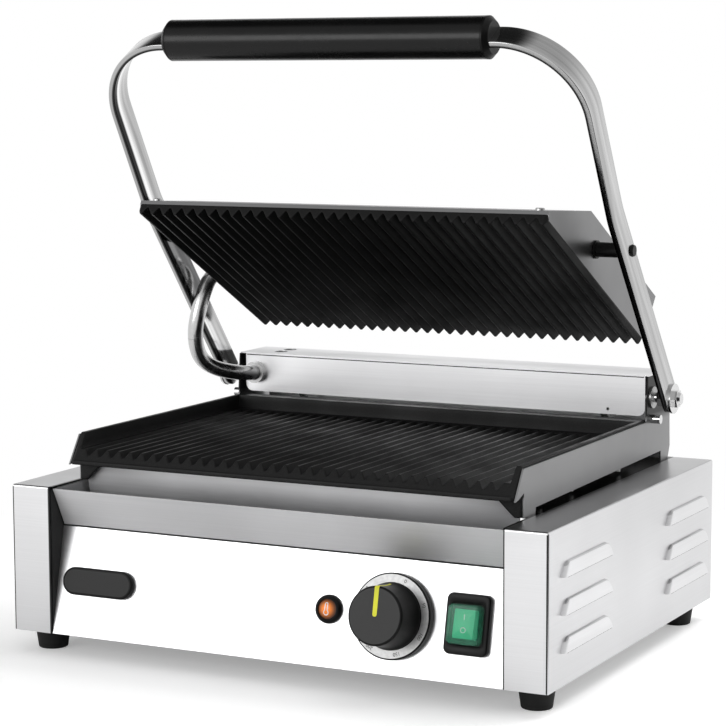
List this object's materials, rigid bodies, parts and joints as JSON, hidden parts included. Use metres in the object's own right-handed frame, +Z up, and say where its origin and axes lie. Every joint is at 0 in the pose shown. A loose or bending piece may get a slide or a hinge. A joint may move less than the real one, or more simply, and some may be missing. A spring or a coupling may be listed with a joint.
{
  "type": "panini press",
  "caption": "Wide ribbed contact grill: steel casing with drip tray and controls, cast lower plate, and a cast upper plate hung in a hinged handle frame.",
  "frame": {"origin": "on the bench, under the middle of the press's overall box with the lid open", "axes": "+Z up, the front with the controls faces -Y, +X to the right seen from the front"},
  "size_m": [0.4372, 0.3694, 0.4667],
  "materials": {
    "stainless": "brushed stainless sheet",
    "chrome": "polished chrome plating",
    "cast_iron": "black enamelled cast iron",
    "cast_iron_lid": "black enamelled cast iron",
    "black_plastic": "glossy black moulded plastic",
    "black_grip": "satin black grip",
    "grip_end": "satin dark plastic",
    "foot_rubber": "black moulded rubber",
    "pointer": "yellow-green moulded line",
    "scale_silver": "satin anodised ring",
    "lamp_orange": "translucent orange lens",
    "switch_green": "translucent green rocker",
    "switch_cover": "soft clear green cover",
    "black_steel": "black oxide steel",
    "zinc": "bright zinc plated steel",
    "element_steel": "heat-dulled steel tube",
    "insulation": "mineral wool board",
    "conduit_metal": "smooth metal hose",
    "bronze": "sintered bronze",
    "terminal_grey": "pale moulded plastic"
  },
  "bodies": {
    "base": {"casing_shell": "stainless", "base_pan": "stainless", "rear_panel": "stainless", "rear_panel_screws": "zinc", "cable_gland": "black_plastic", "feet": "foot_rubber", "foot_screws": "zinc", "front_panel": "stainless", "badge_plaque": "black_plastic", "lamp_bezel": "black_plastic", "lamp_lens": "lamp_orange", "dial_ring": "black_plastic", "scale_ring": "scale_silver", "thermostat_body": "zinc", "switch_bezel": "black_plastic", "switch_boot": "switch_cover", "terminal_block": "terminal_grey", "tray_runners": "zinc", "plate_apron": "stainless", "lower_grill_plate": "cast_iron", "cradle_side_left": "stainless", "cradle_side_right": "stainless", "cradle_studs": "zinc", "lower_element": "element_steel", "lower_element_clamps": "zinc", "lower_heat_shield": "zinc", "thermostat_bulb": "bronze", "rear_box": "stainless", "hinge_bushings": "bronze", "stop_pins": "chrome", "balance_springs": "zinc", "spring_anchors": "zinc", "conduit": "conduit_metal", "conduit_box_fitting": "conduit_metal"},
    "handle": {"handle_frame": "chrome", "handle_grip": "black_grip", "grip_cap_left": "grip_end", "grip_cap_right": "grip_end", "hinge_shaft": "zinc", "hinge_inner_nuts": "chrome", "hinge_washers": "chrome", "hinge_cap_nuts": "chrome", "spring_cranks": "zinc", "pivot_bolts": "zinc", "pivot_spacers": "black_steel", "pivot_washers": "zinc"},
    "upper": {"upper_grill_plate": "cast_iron_lid", "upper_cover": "stainless", "pivot_brackets": "zinc", "bracket_screws": "zinc", "upper_element": "element_steel", "upper_element_clamps": "zinc", "upper_insulation": "insulation", "upper_cover_screws": "zinc", "conduit_cover_fitting": "conduit_metal"},
    "tray": {"drip_tray": "stainless"},
    "knob": {"control_knob": "black_plastic", "knob_pointer": "pointer", "thermostat_shaft": "zinc"},
    "rocker": {"switch_rocker": "switch_green"}
  },
  "joints": [
    {"name": "lid_hinge", "type": "hinge", "parent": "base", "child": "handle", "pos_m": [0, 0.1275, 0.1785], "axis": [1, 0, 0], "range_deg": [0, 54.2], "deforming": ["balance_springs", "conduit"]},
    {"name": "plate_tilt", "type": "hinge", "parent": "handle", "child": "upper", "pos_m": [0, 0.0376, 0.2982], "axis": [1, 0, 0], "range_deg": [-27, 2]},
    {"name": "tray_slide", "type": "slide", "parent": "base", "child": "tray", "axis": [0, -1, 0], "range_m": [0, 0.09]},
    {"name": "knob_turn", "type": "hinge", "parent": "base", "child": "knob", "pos_m": [0.0963, -0.15044, 0.05559], "axis": [0, 0.9774, -0.2113], "range_deg": [0, 270]},
    {"name": "rocker_tilt", "type": "hinge", "parent": "base", "child": "rocker", "pos_m": [0.15325, -0.15386, 0.05633], "axis": [1, 0, 0], "range_deg": [0, 8]}
  ],
  "couplings": [
    {"joint": "plate_tilt", "follows": "lid_hinge", "ratio": -0.476}
  ]
}
